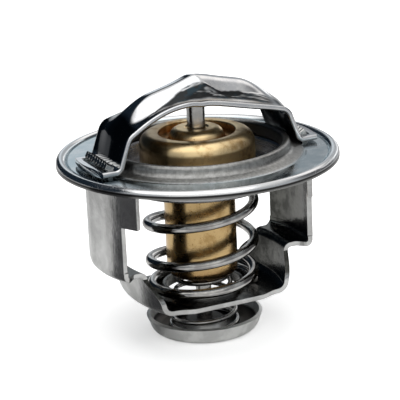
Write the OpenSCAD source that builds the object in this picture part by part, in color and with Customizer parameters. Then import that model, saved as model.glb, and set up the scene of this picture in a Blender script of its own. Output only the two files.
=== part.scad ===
// Engine coolant valve with a wax element, a bridge above its flange and a bypass cup below.
// Millimetres, +Z up. The bridge lies along X. The bypass cup stands on z = 0, on the axis.
// Heights in the modules are measured from the crest of the flange rim: see at_rim().

/* [Flange] */
// Outside diameter of the flange
flange_d = 54; // [50:0.5:60]
// Sheet thickness of the flange
flange_t = 0.7; // [0.5:0.05:1]
// Radius of the rolled bead at the rim
bead_r = 0.6; // [0.5:0.05:0.8]
// Length of the straight edge below the bead
rim_edge = 0.6; // [0.3:0.05:0.8]
// Radius of the groove inside the bead
groove_r = 0.4; // [0.36:0.02:0.6]
// Drop of the flat annulus below the crest of the rim
annulus_drop = 0.6; // [0.4:0.05:0.9]
// Outside radius of the collar's folded lip
lip_r = 17.7; // [17.2:0.1:18]
// Height of the lip above the crest of the rim
lip_h = 1.85; // [1.4:0.05:3]
// Radius of the fold at the lip
fold_r = 0.4; // [0.36:0.02:0.5]
// Radius of the hollow outside the lip
flare_r = 1.6; // [1.2:0.1:2]
// Width of the collar, from the lip to its foot
collar_w = 2.6; // [2.2:0.1:3]
// Drop of the valve seat below the crest of the rim
seat_drop = 0.6; // [0.4:0.05:0.9]

/* [Main valve] */
// Sheet thickness of the main valve
valve_t = 0.8; // [0.6:0.05:1]
// Width of the flat lip that meets the seat
valve_lip_w = 0.8; // [0.6:0.1:1]
// Height of the hub above the flat lip
hub_rise = 0.72; // [0.5:0.05:1.2]
// Outside radius of the hub
hub_r = 13.1; // [12.6:0.1:13.2]
// Outside radius of the trough below the hub
trough_r = 15.5; // [15.3:0.1:15.8]
// Depth of the trough below the flat lip
trough_depth = 5.05; // [4:0.1:6]

/* [Wax element] */
// Outside diameter of the brass case
case_d = 13.7; // [12.5:0.1:14]
// Wall of the brass case
case_wall = 0.9; // [0.7:0.05:1.2]
// Length of the case below its head
case_len = 24.6; // [22:0.2:26]
// Corner radius at the bottom of the case
case_corner = 1.6; // [1:0.1:2.2]
// Chamfer inside the bottom of the case
case_chamfer = 0.8; // [0.4:0.1:1.2]
// Diameter of the crimped head
head_d = 22.1; // [21:0.1:23]
// Height of the crimped head
head_h = 3.8; // [3.4:0.1:4.6]
// Wall of the crimped head
head_wall = 0.9; // [0.8:0.05:1.1]
// Radius of the head's rounded wall
head_round = 3.1; // [2.4:0.1:3.2]
// Diameter of the hole inside the crimped lip
crimp_hole_d = 14.7; // [13:0.1:15.2]
// Thickness of the guide's clamped flange
guide_flange_t = 0.8; // [0.7:0.05:1.2]
// Diameter of the bell at its foot
bell_d = 10.7; // [10:0.1:12]
// Diameter of the bell's flat top
bell_top_d = 7.1; // [6:0.1:7.6]
// Height of the bell's top above the head
bell_rise = 0.75; // [0.4:0.05:1.2]
// Width of the chamfer at the mouth of the bell's bore
bore_chamfer = 0.6; // [0.3:0.1:0.9]
// Thickness of the rubber boot's collar
boot_collar_t = 0.6; // [0.5:0.05:1]
// Wall of the rubber boot
boot_wall = 1.3; // [1:0.1:1.8]
// Length of the ring that backs the boot
backup_len = 1.2; // [0.8:0.1:1.6]
// Wall of the ring that backs the boot
backup_wall = 0.8; // [0.6:0.1:1]

/* [Piston] */
// Diameter of the piston
piston_d = 3.5; // [3:0.1:4]
// Depth of the piston's foot below the head of the case
piston_depth = 17.5; // [14:0.5:19]
// Length of the taper at the piston's foot
piston_taper = 2.5; // [1.5:0.1:4]

/* [Bridge] */
// Sheet thickness of the bridge
bridge_t = 1; // [0.8:0.05:1.2]
// Width of the bridge
bridge_w = 13; // [12:0.2:14]
// Height of the bridge's edge at midspan above the crest of the rim
bridge_h = 12; // [11:0.1:13]
// Height of the shoulders above the crest of the rim
shoulder_h = 7.4; // [6.6:0.1:8]
// Half the distance between the shoulders
shoulder_x = 15.7; // [15.5:0.1:16]
// Radius of the shoulder bends
shoulder_bend = 1.8; // [1.5:0.1:2.2]
// Slope of the bridge's legs, in degrees
leg_slope = 70; // [66:0.5:72]
// Radius of the bends at the feet
foot_bend = 1.3; // [1:0.1:1.6]
// Lift of the feet above the flange's annulus, as they ride on the shoulder of its collar
foot_lift = 0.38; // [0.36:0.02:0.6]
// Reach of the rounded feet beyond the legs of the frame
foot_reach = 1.8; // [1.5:0.1:2.2]
// Width of the slot left open outside each staked tab
foot_slot_gap = 0.6; // [0.2:0.1:0.8]
// Height of the pressed rib above the edges
rib_h = 2.7; // [2:0.1:3.2]
// Share of the rib's height that rises only at midspan
rib_peak = 0.25; // [0:0.05:0.4]
// Half width of the pressed rib
rib_half_w = 4.7; // [4:0.1:5.5]
// Lift of one edge at quarter span on one side and its drop on the other, from an askew press
edge_skew = 1; // [0:0.1:1.4]
// Dip of the edges beside the piston socket
edge_dip = 0.8; // [0:0.1:1.2]
// Diameter of the boss that holds the piston
socket_d = 5.6; // [5:0.1:6.5]
// Depth of the socket in the boss
socket_depth = 1.6; // [1:0.1:2.2]

/* [Lower frame] */
// Sheet thickness of the lower frame
frame_t = 0.9; // [0.7:0.05:1]
// Outside radius of the legs
leg_r = 21.6; // [21.3:0.1:21.8]
// Half width of the flat middle panel of a leg
panel_half_w = 3.5; // [3:0.1:4]
// Half width out to the second crease of a leg
crease_half_w = 5.6; // [5.5:0.1:6.4]
// Half width of a leg
leg_half_w = 7.9; // [7.4:0.1:8.4]
// Half width of a leg's wings
wing_half_w = 11.3; // [10.5:0.1:12]
// Height of the wings below the flange
wing_h = 8.4; // [6:0.2:10]
// Depth of the legs' foot below the crest of the rim
leg_depth = 20.8; // [19.5:0.1:21.5]
// Depth of the bottom plate below the crest of the rim
plate_depth = 28.25; // [27.5:0.05:29.5]
// Distance from the axis to the top of the frame's wall
wall_top_x = 15.7; // [15.2:0.1:16]
// Distance from the axis to the foot of the frame's wall
wall_foot_x = 14.7; // [14.2:0.1:15.2]
// Radius of the wall's bow, seen from above
bow_r = 30; // [26:1:40]
// Half width of the neck where the ledge turns down into the wall
neck_half_w = 6.1; // [5.6:0.1:7]
// Half width at the foot of the wall
arm_half_w = 9.8; // [9.2:0.1:10.4]
// Half width of the bottom plate at its middle
plate_half_w = 11.1; // [10.6:0.1:12]
// Height of the collar round the plate's hole
guide_collar_h = 1.1; // [0.8:0.1:1.5]
// Wall of the collar round the plate's hole
guide_collar_wall = 0.6; // [0.5:0.05:0.7]
// Half width of the tabs staked over the bridge
tab_half_w = 5.2; // [4.6:0.1:5.4]
// Height of a staked tab above the bridge's foot
stake_h = 0.7; // [0.5:0.05:0.9]
// Number of scallops left by the staking tool
stake_count = 9; // [7:1:11]

/* [Main spring] */
// Wire diameter of the main spring
main_wire_d = 1.9; // [1.6:0.1:2.1]
// Mean radius of the main spring's top coil
main_top_r = 10.8; // [10.6:0.1:11]
// Mean radius of the main spring's bottom coil
main_foot_r = 9.7; // [9.6:0.1:10]
// Turns of the main spring
main_turns = 5; // [4.5:0.25:5.5]
// Direction of the main spring's foot end
main_start = -26; // [-90:1:90]

/* [Bypass valve] */
// Diameter of the bypass cup's rim
cup_d = 22.6; // [21:0.1:24]
// Diameter of the bypass cup at its foot
cup_foot_d = 21.4; // [20:0.1:21.8]
// Height of the bypass cup
cup_h = 3.4; // [2.8:0.1:4]
// Sheet thickness of the bypass cup
cup_t = 0.7; // [0.5:0.05:0.9]
// Depth of the cup's foot below the case
cup_drop = 11.4; // [10:0.1:12.5]
// Height of the recess under the cup's middle
cup_recess = 1.4; // [1.2:0.1:1.6]
// Diameter of the bypass stem
stem_d = 3; // [2.6:0.1:3.4]
// Diameter of the stem's peened head
stem_head_d = 5; // [4.4:0.1:5.6]
// Thickness of the stem's peened head
stem_head_t = 0.8; // [0.6:0.05:0.9]
// Diameter of the brass boss round the stem
boss_d = 6.4; // [5.6:0.1:6.8]
// Length of the brass boss round the stem
boss_len = 1.4; // [1:0.1:2]
// Wire diameter of the bypass spring
bypass_wire_d = 0.9; // [0.7:0.05:1]
// Mean radius of the bypass spring's foot coil
bypass_foot_r = 6.8; // [6.4:0.1:7.2]
// Mean radius of the bypass spring's top coil
bypass_top_r = 4.6; // [4.4:0.1:4.8]
// Turns of the bypass spring
bypass_turns = 5.5; // [5:0.25:6]

/* [Fits] */
// Radial clearance of a running fit
run_clear = 0.04; // [0.02:0.01:0.06]
// Gap between two pieces that only touch
seat_gap = 0.02; // [0.01:0.01:0.04]
// Radial clearance of the case in the bottom plate
case_clear = 0.4; // [0.3:0.05:0.6]
// Gap round a tab in its slot
slot_clear = 0.1; // [0.05:0.05:0.2]

/* [Hidden] */
$fn = 96;
eps = 0.01;

// Radii and levels of the flange and the collar
flange_r = flange_d / 2;
annulus_z = -annulus_drop;
flange_under_z = annulus_z - flange_t;
sheet_z = annulus_z - flange_t / 2;
bead_x = flange_r - flange_t / 2 - bead_r;
bead_z = -flange_t / 2 - bead_r;
lip_x = lip_r - flange_t / 2 - fold_r;
lip_z = lip_h - flange_t / 2 - fold_r;
flare_x = lip_x + fold_r + flare_r;
seat_x = lip_x - fold_r - 0.1;
annulus_r0 = flare_x + collar_w - flare_r + 0.55;
annulus_r1 = bead_x - bead_r - 2 * groove_r - 0.45;

// Levels of the main valve and of the element that it hangs on
valve_lip_z = -seat_drop - seat_gap;
hub_z = valve_lip_z + hub_rise;
valve_lip_x = seat_x + valve_lip_w;
head_z = hub_z + seat_gap;
head_top_z = head_z + head_h;
case_r = case_d / 2;
wax_r = case_r - case_wall;
case_z = head_z - case_len;
head_r = head_d / 2;
bell_top_z = head_top_z + bell_rise;
boot_z = head_z + head_wall;
guide_z = boot_z + boot_collar_t;
packing_r = head_r - head_wall;

// Levels of the piston and its boot
piston_r = piston_d / 2;
piston_z = head_z - piston_depth;
bore_r = piston_r + run_clear;
boot_r = bore_r + boot_wall;

// Levels of the bridge
foot_z = annulus_z + foot_lift + bridge_t / 2;
foot_top_z = foot_z + bridge_t / 2;
foot_tip_r = leg_r + foot_reach;
shoulder_slope = atan(2 * (bridge_h - shoulder_h) / shoulder_x);
rib_top_z = bridge_h + rib_h;
piston_top_z = rib_top_z - bridge_t - 1.2;
socket_z = piston_top_z - socket_depth;

// Levels of the lower frame
plate_top_z = frame_t - plate_depth;
hole_r = case_r + case_clear;
// Swelling of the legs' sheet at its creases
crease_swell = 0.05;

// Levels of the springs and the bypass cup
main_foot_z = plate_top_z + main_wire_d / 2;
main_top_z = hub_z - valve_t - main_wire_d / 2;
cup_z = case_z - cup_drop;
cup_floor_z = cup_z + cup_t;
recess_r = stem_head_d / 2 + 1.1;
stem_r = stem_d / 2;
stem_head_z = cup_z + cup_recess - seat_gap - stem_head_t;
boss_z = case_z - boss_len;
rim_z = -cup_z;

steel = "silver";
brass = [0.78, 0.62, 0.32];
rubber = [0.12, 0.12, 0.13];

// Geometry helpers
function reversed(list) = [for (i = [len(list) - 1:-1:0]) list[i]];
function arc(centre, r, from, to, steps) =
  [for (i = [0:steps]) let (a = from + (to - from) * i / steps) centre + r * [cos(a), sin(a)]];
function unit(v) = v / norm(v);
function heading(path, i) =
  unit(path[min(i + 1, len(path) - 1)] - path[max(i - 1, 0)]);
function shifted(path, d) =
  [for (i = [0:len(path) - 1]) let (h = heading(path, i)) path[i] + d * [-h[1], h[0]]];
function ribbon(path, t) = concat(shifted(path, t / 2), reversed(shifted(path, -t / 2)));
function blend(t) = let (s = max(0, min(1, t))) s * s * (3 - 2 * s);
function mirrored(path) = [for (p = reversed(path)) [-p[0], p[1]]];

module at_rim() {
  translate([0, 0, rim_z]) children();
}

module pressed_sheet(path, t) {
  rotate_extrude() polygon(ribbon(path, t));
}

// Solid skinned over rings of points, all with the same number of points
module skinned(rings) {
  n = len(rings[0]);
  last = len(rings) - 1;
  sides = [for (i = [0:last - 1], j = [0:n - 1]) let (k = (j + 1) % n)
    [[i * n + j, i * n + k, (i + 1) * n + k], [i * n + j, (i + 1) * n + k, (i + 1) * n + j]]];
  walls = [for (pair = sides, face = pair) face];
  caps = [for (j = [0:n / 2 - 2], m = [0, last * n])
    let (cap = [m + j, m + n - 1 - j, m + n - 2 - j, m + j + 1]) m == 0 ? cap : reversed(cap)];
  polyhedron(points = [for (ring = rings, p = ring) p], faces = concat(walls, caps), convexity = 10);
}

// Round wire wound from z0 to z1, with closed ends and a mean radius that runs from r0 to r1
module wound(wire_d, r0, r1, z0, z1, turns, start, closed, sides, per_turn) {
  steps = round(turns * per_turn);
  function rise(u) = let (t = max(0, min(1, (u - closed) / (turns - 2 * closed))))
    0.5 * t + 0.25 * (1 - cos(180 * t));
  function point(u) = let (a = start + 360 * u, r = r0 + (r1 - r0) * u / turns)
    [r * cos(a), r * sin(a), z0 + (z1 - z0) * rise(u)];
  skinned([for (i = [0:steps])
    let (u = i / per_turn, a = start + 360 * u, p = point(u),
      q = point(min(u + 0.01, turns)) - point(max(u - 0.01, 0)),
      along = q / norm(q), out = [cos(a), sin(a), 0], up = cross(along, out))
    [for (j = [0:sides - 1]) let (b = -360 * j / sides)
      p + wire_d / 2 * (cos(b) * out - sin(b) * up)]]);
}

// Sheet of the flange: rim bead, groove, annulus, collar flare, folded lip and seat wall
module flange() {
  path = concat(
    [[bead_x + bead_r, bead_z - rim_edge], [bead_x + bead_r, bead_z - 0.05]],
    arc([bead_x, bead_z], bead_r, 0, 180, 12),
    arc([bead_x - bead_r - groove_r, sheet_z], groove_r, 0, -180, 8),
    [[annulus_r1, sheet_z], [annulus_r0, sheet_z], [annulus_r0 - 0.05, sheet_z],
      [annulus_r0 - 0.45, sheet_z + 0.08], [annulus_r0 - 0.85, sheet_z + 0.24]],
    arc([flare_x, lip_z], flare_r, 252, 186, 10),
    arc([lip_x, lip_z], fold_r, 0, 180, 8),
    [[seat_x, -seat_drop]]);
  color(steel) at_rim() difference() {
    pressed_sheet(path, flange_t);
    for (side = [0, 180]) rotate(side) leg_tab(slot_clear, flange_under_z - 1, annulus_z + 1);
  }
}

// Middle line of the bridge, from its crown to the tip of one foot
function bridge_path() =
  let (bend = [shoulder_x - shoulder_bend * sin(shoulder_slope),
      shoulder_h - bridge_t / 2 - shoulder_bend * cos(shoulder_slope)],
    top = bend + shoulder_bend * [sin(leg_slope), cos(leg_slope)],
    root_z = foot_z + foot_bend * (1 - cos(leg_slope)),
    root_x = top[0] + (top[1] - root_z) / tan(leg_slope))
  concat(
    [for (i = [0:14]) let (x = shoulder_x * i / 14)
      [x, bridge_h - bridge_t / 2 - (bridge_h - shoulder_h) * pow(x / shoulder_x, 2)]],
    arc(bend, shoulder_bend, 82 - shoulder_slope, 90 - leg_slope, 4),
    arc([root_x + foot_bend * sin(leg_slope), foot_z + foot_bend], foot_bend,
      270 - leg_slope, 270, 5),
    [[foot_tip_r - 1, foot_z], [foot_tip_r + 1, foot_z]]);

// Lift of the sheet above the middle line: pressed rib, askew edges and the dip beside the socket
function bridge_lift(x, y) =
  let (w = bridge_w / 2,
    along = (1 - rib_peak * (1 - exp(-pow(x / 4, 2)))) * blend((shoulder_x + 1.9 - abs(x)) / 3.6),
    across = abs(y) < rib_half_w ? pow(cos(90 * y / rib_half_w), 2) : 0,
    skew = abs(x) < shoulder_x && min(x, y) < 0 ? sin(180 * x / shoulder_x) * y / w : 0)
  rib_h * along * across + edge_skew * skew - edge_dip * exp(-pow(x / 2.4, 2)) * pow(y / w, 2);

module bridge() {
  half = bridge_path();
  path = concat(mirrored([for (i = [1:len(half) - 1]) half[i]]), half);
  w = bridge_w / 2;
  rows = [for (f = [-1, -0.85, -0.7, -0.56, -0.42, -0.28, -0.14, 0, 0.14, 0.28, 0.42, 0.56, 0.7,
    0.85, 1]) f * w];
  color(steel) at_rim() intersection() {
    translate([0, 0, annulus_z - 1]) cylinder(r = foot_tip_r, h = rib_top_z + 3);
    difference() {
      union() {
        skinned([for (i = [0:len(path) - 1])
          let (p = path[i], h = heading(path, i), n = [-h[1], h[0]],
            top = [for (y = rows) let (q = p + (bridge_lift(p[0], y) + bridge_t / 2) * n)
              [q[0], y, q[1]]],
            low = [for (y = reversed(rows)) let (q = p + (bridge_lift(p[0], y) - bridge_t / 2) * n)
              [q[0], y, q[1]]])
          concat(top, low)]);
        translate([0, 0, socket_z]) cylinder(d = socket_d, h = socket_depth);
        translate([0, 0, piston_top_z])
          cylinder(d1 = socket_d, d2 = rib_half_w / 2, h = rib_top_z - bridge_t / 2 - piston_top_z);
      }
      translate([0, 0, socket_z - 1]) cylinder(r = piston_r + seat_gap, h = socket_depth + 1 + seat_gap);
      for (side = [0, 180]) rotate(side) {
        leg_tab(slot_clear, annulus_z - 1, foot_z + bridge_t);
        translate([foot_slot_gap, 0, 0]) leg_tab(slot_clear, annulus_z - 1, foot_z + bridge_t);
      }
    }
  }
}

// Plan of one leg as a strip of sheet, flat in its middle and creased towards its sides
function leg_plan(half_w, grow) =
  let (half = [for (y = [panel_half_w, crease_half_w, leg_half_w, wing_half_w])
      if (y < half_w + eps) asin(y / leg_r)],
    turns = concat([for (a = reversed(half)) -a], half))
  concat([for (a = turns) (leg_r + grow) * [cos(a), sin(a)]],
    [for (a = reversed(turns)) (leg_r - frame_t - grow) * [cos(a), sin(a)]]);

module leg_tab(grow, z0, z1) {
  translate([0, 0, z0]) linear_extrude(z1 - z0) intersection() {
    polygon(leg_plan(wing_half_w, grow));
    translate([leg_r / 2, -tab_half_w - grow]) square([leg_r, 2 * (tab_half_w + grow)]);
  }
}

// Outline that is the same on both sides of the X axis, from half widths at places along it
function both_sides(half) = concat(half, [for (p = reversed(half)) [p[0], -p[1]]]);

// Ledge between a leg and the neck, seen from above
function ledge_plan() = both_sides([for (i = [0:12])
  let (x = wall_top_x + 1.45 + (leg_r + 1 - wall_top_x - 1.45) * i / 12)
  [x, neck_half_w + (leg_half_w - neck_half_w) * blend((x - wall_top_x - 1.45) / 2.3)]]);

// Bottom plate, seen from above
function plate_plan() = both_sides([for (i = [-12:12]) let (x = (wall_foot_x - 3.9) * i / 12)
  [x, arm_half_w + (plate_half_w - arm_half_w) * blend((wall_foot_x - 3.9 - abs(x)) / 4)]]);

// Wall seen from its own side: half width at each depth below the neck
function wall_side(top_z, foot_z) = both_sides(concat([[top_z + 2, neck_half_w]],
  [for (i = [0:10]) [top_z + (foot_z - top_z) * i / 10,
    neck_half_w + (arm_half_w - neck_half_w) * pow(sin(9 * i), 1.2)]],
  [[foot_z - 3, arm_half_w]]));

module lower_frame() {
  mid_r = leg_r - frame_t / 2;
  ledge_z = frame_t / 2 - leg_depth;
  plate_z = frame_t / 2 - plate_depth;
  ledge_path = concat([[mid_r, ledge_z + 1.6]], arc([mid_r - 0.9, ledge_z + 0.9], 0.9, 0, -90, 6),
    [[mid_r - 1.3, ledge_z], [wall_top_x - 1, ledge_z]]);
  wall_path = concat([[wall_top_x + 2.3, ledge_z], [wall_top_x + 1.4, ledge_z]],
    arc([wall_top_x + 1, ledge_z - 1], 1, 90, 175, 5),
    arc([wall_foot_x - 1.8, plate_z + 1.8], 1.8, -6, -90, 8),
    [[wall_foot_x - 2.2, plate_z], [wall_foot_x - 4.7, plate_z]]);
  bow = bow_r - wall_foot_x;
  color(steel) at_rim() difference() {
    union() {
      translate([0, 0, -plate_depth]) linear_extrude(frame_t) polygon(plate_plan());
      for (side = [0, 180]) rotate(side) {
        intersection() {
          pressed_sheet(ledge_path, frame_t);
          translate([0, 0, -plate_depth]) linear_extrude(plate_depth) polygon(ledge_plan());
        }
        intersection() {
          translate([-bow, 0, 0]) pressed_sheet([for (p = wall_path) p + [bow, 0]], frame_t);
          rotate([0, 90, 0]) linear_extrude(leg_r)
            polygon([for (p = wall_side(ledge_z - 1, plate_z + 1.8)) [-p[0], p[1]]]);
        }
        translate([0, 0, ledge_z + 1.5]) linear_extrude(flange_under_z - seat_gap - ledge_z - 1.5)
          polygon(leg_plan(leg_half_w, crease_swell));
        translate([0, 0, flange_under_z - seat_gap - wing_h]) linear_extrude(wing_h)
          polygon(leg_plan(wing_half_w, crease_swell));
        leg_tab(0, flange_under_z - 1, foot_top_z + 0.3);
        intersection() {
          for (i = [0:stake_count - 1])
            translate([leg_r - frame_t - 0.65 + 0.6 * i / (stake_count - 1),
              (i / (stake_count - 1) * 2 - 1) * (tab_half_w - 0.4), foot_top_z + stake_h / 2 + 0.05])
              rotate([0, 60, 0]) cylinder(d = 1.15, h = 1.6, center = true);
          translate([0, -tab_half_w, foot_top_z + seat_gap]) cube([leg_r + 2, 2 * tab_half_w, 3]);
        }
      }
      translate([0, 0, -plate_depth]) cylinder(r = hole_r + guide_collar_wall, h = frame_t + guide_collar_h);
    }
    translate([0, 0, -plate_depth - 1]) cylinder(r = hole_r, h = plate_depth);
  }
}

// Drawn brass cup with a wide head, crimped over the flange of the guide
module wax_case() {
  corner = case_corner;
  outer = concat(
    [[0, boss_z], [boss_d / 2 - 0.3, boss_z], [boss_d / 2, boss_z + 0.3], [boss_d / 2, case_z]],
    arc([case_r - corner, case_z + corner], corner, -90, 0, 8),
    [[case_r, head_z]],
    arc([head_r - 0.6, head_z + 0.6], 0.6, -90, 0, 4),
    arc([head_r - head_round, head_top_z - head_round], head_round, 0, 80, 12),
    arc([crimp_hole_d / 2 + 0.3, head_top_z - 0.3], 0.3, 90, 180, 4));
  inner = [[crimp_hole_d / 2, guide_z + guide_flange_t], [packing_r, guide_z + guide_flange_t],
    [packing_r, boot_z], [wax_r, boot_z], [wax_r, case_z + case_wall + case_chamfer],
    [wax_r - case_chamfer, case_z + case_wall],
    [0, case_z + case_wall]];
  color(brass) at_rim() difference() {
    rotate_extrude() polygon(concat(outer, inner));
    translate([0, 0, boss_z - 1]) cylinder(r = stem_r, h = boss_len + 1 + case_wall / 2);
  }
}

// Brass guide: a clamped flange that rises into a bell with the piston's bore
module guide_bush() {
  bell_r = bell_d / 2;
  top_r = bell_top_d / 2;
  flange_z = guide_z + guide_flange_t;
  round_r = bell_r - top_r + 0.2;
  profile = concat(
    [[0, guide_z], [packing_r, guide_z], [packing_r, flange_z], [bell_r + 0.3, flange_z],
      [bell_r, flange_z + 0.3]],
    arc([bell_r - round_r, bell_top_z - round_r], round_r, 0, 84, 8),
    [[bore_r + bore_chamfer, bell_top_z], [bore_r + bore_chamfer / 2, bell_top_z - bore_chamfer / 2],
      [0, bell_top_z - bore_chamfer / 2]]);
  color(brass) at_rim() difference() {
    rotate_extrude() polygon(profile);
    translate([0, 0, guide_z - 1]) cylinder(r = bore_r, h = bell_top_z);
    translate([0, 0, guide_z - 1]) cylinder(r = bore_r + backup_wall, h = backup_len + 1);
  }
}

module backup_ring() {
  color("white") at_rim() translate([0, 0, guide_z]) difference() {
    cylinder(r = bore_r + backup_wall, h = backup_len);
    translate([0, 0, -1]) cylinder(r = bore_r, h = backup_len + 2);
  }
}

// Rubber boot round the piston, with a collar clamped under the guide
module rubber_boot() {
  foot_z1 = piston_z - boot_wall;
  color(rubber) at_rim() difference() {
    union() {
      translate([0, 0, boot_z]) cylinder(r = packing_r, h = boot_collar_t);
      translate([0, 0, foot_z1]) cylinder(r1 = boot_r - piston_taper / 2, r2 = boot_r, h = piston_taper);
      translate([0, 0, foot_z1 + piston_taper]) cylinder(r = boot_r, h = boot_z - foot_z1 - piston_taper + eps);
    }
    piston_solid(run_clear, guide_z + 1);
  }
}

module wax_charge() {
  wax_z = case_z + case_wall;
  color("khaki") at_rim() difference() {
    translate([0, 0, wax_z]) cylinder(r = wax_r, h = boot_z - wax_z);
    translate([0, 0, piston_z - boot_wall])
      cylinder(r1 = boot_r - piston_taper / 2, r2 = boot_r, h = piston_taper);
    translate([0, 0, piston_z - boot_wall + piston_taper])
      cylinder(r = boot_r, h = boot_z - piston_z + boot_wall);
    rotate_extrude() polygon([[wax_r - case_chamfer - eps, wax_z - eps], [wax_r + eps, wax_z - eps],
      [wax_r + eps, wax_z + case_chamfer + eps]]);
  }
}

module piston_solid(grow, top) {
  translate([0, 0, piston_z - grow])
    cylinder(r1 = piston_r - piston_taper / 4 + grow, r2 = piston_r + grow, h = piston_taper + grow);
  translate([0, 0, piston_z + piston_taper]) cylinder(r = piston_r + grow, h = top - piston_z - piston_taper);
}

module piston() {
  color("gray") at_rim() piston_solid(0, piston_top_z);
}

// Main valve: hub plate, deep trough and a flared flank with a flat sealing lip
module main_valve() {
  bend = 0.9;
  hub_mid = hub_z - valve_t / 2;
  lip_mid = valve_lip_z - valve_t / 2;
  trough_z = valve_lip_z - trough_depth + valve_t / 2;
  wall_x = hub_r - valve_t / 2;
  flank_x = trough_r - valve_t / 2;
  curl = (flank_x - wall_x) / 2;
  path = concat(
    [[case_r + seat_gap, hub_mid]],
    arc([wall_x - bend, hub_mid - bend], bend, 90, 0, 6),
    arc([wall_x + curl, trough_z + curl], curl, 180, 360, 10),
    arc([seat_x + bend - 0.1, lip_mid - bend], bend, 170, 95, 5),
    [[valve_lip_x, lip_mid]]);
  color(steel) at_rim() pressed_sheet(path, valve_t);
}

module main_spring() {
  color("dimgray") at_rim() wound(main_wire_d, main_foot_r, main_top_r, main_foot_z + seat_gap,
    main_top_z - seat_gap, main_turns, main_start, 0.5, 12, 40);
}

module bypass_stem() {
  color(steel) at_rim() {
    translate([0, 0, stem_head_z + eps]) cylinder(r = stem_r, h = case_z + case_wall / 2 - stem_head_z - eps);
    translate([0, 0, stem_head_z]) cylinder(r1 = stem_head_d / 2 - 0.4, r2 = stem_head_d / 2, h = stem_head_t);
  }
}

// Upturned cup that shuts the bypass port, with a recess under its middle for the stem's head
module bypass_cup() {
  corner = 1.8;
  mid = cup_t / 2;
  rim_x = cup_d / 2 - mid;
  foot_x1 = cup_foot_d / 2 - mid;
  raise_z = cup_z + cup_recess + mid;
  path = concat(
    [[stem_r + run_clear, raise_z], [recess_r - 0.6, raise_z]],
    arc([recess_r - 0.4, raise_z - 0.5], 0.5, 80, 20, 3),
    arc([recess_r + 0.9, cup_z + mid + 0.5], 0.5, 200, 270, 3),
    arc([foot_x1 - corner, cup_z + mid + corner], corner, -90, -12, 8),
    [[rim_x, cup_z + cup_h]]);
  color(steel) at_rim() pressed_sheet(path, cup_t);
}

module bypass_spring() {
  color("dimgray") at_rim() wound(bypass_wire_d, bypass_foot_r, bypass_top_r,
    cup_floor_z + bypass_wire_d / 2 + seat_gap, case_z - bypass_wire_d / 2 - seat_gap,
    bypass_turns, 0, 0.6, 8, 32);
}

flange();
bridge();
lower_frame();
wax_case();
guide_bush();
rubber_boot();
backup_ring();
wax_charge();
piston();
main_valve();
main_spring();
bypass_stem();
bypass_cup();
bypass_spring();
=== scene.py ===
"""Looks of the engine coolant thermostat, built round the solids of its CAD model.

Smooth or redrawn meshes stand for the two springs, the bridge, the brass case, the main valve and the
lower frame. The other pieces keep the meshes of their solids. Every piece gets a procedural material,
and a pale studio shows the object from the photograph's side.

Sizes and places are in millimetres and angles in degrees, and heights are from the crest of the flange's
rim, unless a comment says otherwise.
"""
import math

import bmesh
import bpy
from mathutils import Matrix, Vector


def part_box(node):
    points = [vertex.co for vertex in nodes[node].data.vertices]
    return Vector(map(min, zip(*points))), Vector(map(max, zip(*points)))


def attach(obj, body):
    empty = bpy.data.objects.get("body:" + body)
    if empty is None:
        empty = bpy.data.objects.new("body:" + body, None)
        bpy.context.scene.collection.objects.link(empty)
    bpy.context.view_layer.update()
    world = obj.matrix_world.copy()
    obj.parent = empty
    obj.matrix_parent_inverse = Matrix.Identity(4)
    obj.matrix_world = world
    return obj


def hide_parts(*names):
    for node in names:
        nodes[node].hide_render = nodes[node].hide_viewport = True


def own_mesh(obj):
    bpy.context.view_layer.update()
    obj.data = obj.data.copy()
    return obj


MM = 0.001
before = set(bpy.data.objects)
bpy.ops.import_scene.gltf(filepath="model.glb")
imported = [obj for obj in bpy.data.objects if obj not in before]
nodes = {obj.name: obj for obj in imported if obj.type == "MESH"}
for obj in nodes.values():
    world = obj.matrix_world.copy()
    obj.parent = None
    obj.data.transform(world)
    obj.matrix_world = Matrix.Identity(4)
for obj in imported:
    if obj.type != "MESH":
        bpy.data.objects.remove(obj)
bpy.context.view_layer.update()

# Levels above the frame's origin: the crest of the rim, which lies LIP_H below the collar's lip, and the
# two seats of each spring
LIP_H = 1.85
RIM_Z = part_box("flange")[1].z / MM - LIP_H
MAIN_SEATS = [corner.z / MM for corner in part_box("main_spring")]
BYPASS_SEATS = [corner.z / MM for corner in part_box("bypass_spring")]

# Camera of the photograph, at the front left. The rim's centre lies on RIM_PIXEL.
CAMERA_DISTANCE = 400
CAMERA_AZIMUTH = -26
CAMERA_ELEVATION = 16.09
CAMERA_ROLL = 2.6
SENSOR = 36
FRAME_SIDE = 400
FOCAL_PIXELS = 2103.56
RIM_PIXEL = (197.3, 150.0)
# Nearest and farthest place that the camera sees, in metres
CAMERA_CLIP = (0.01, 10)

# Springs. Closed ends are counted in turns, and the mean radii run from the foot to the top.
MAIN_WIRE_D = 1.9
MAIN_R = (9.7, 10.8)
MAIN_TURNS = 5
MAIN_START = -26
MAIN_CLOSED = 0.5
BYPASS_WIRE_D = 0.9
BYPASS_R = (6.8, 4.6)
BYPASS_TURNS = 5.5
BYPASS_START = 0
BYPASS_CLOSED = 0.6
WIRE_SIDES = 24
RINGS_PER_TURN = 96
# Rings that round off a cut end: place along the wire and size, in wire diameters
WIRE_END = [(0.0, 0.82), (0.02, 0.95), (0.07, 1.0)]
# Part of a turn, to each side, over which the wire's direction is measured
WIRE_STEP = 0.01

# Turned pieces: least radius of a profile, number of sides, and gap between pieces that only touch
AXIS_R = 0.01
TURNED_SIDES = 128
SEAT_GAP = 0.02

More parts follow.
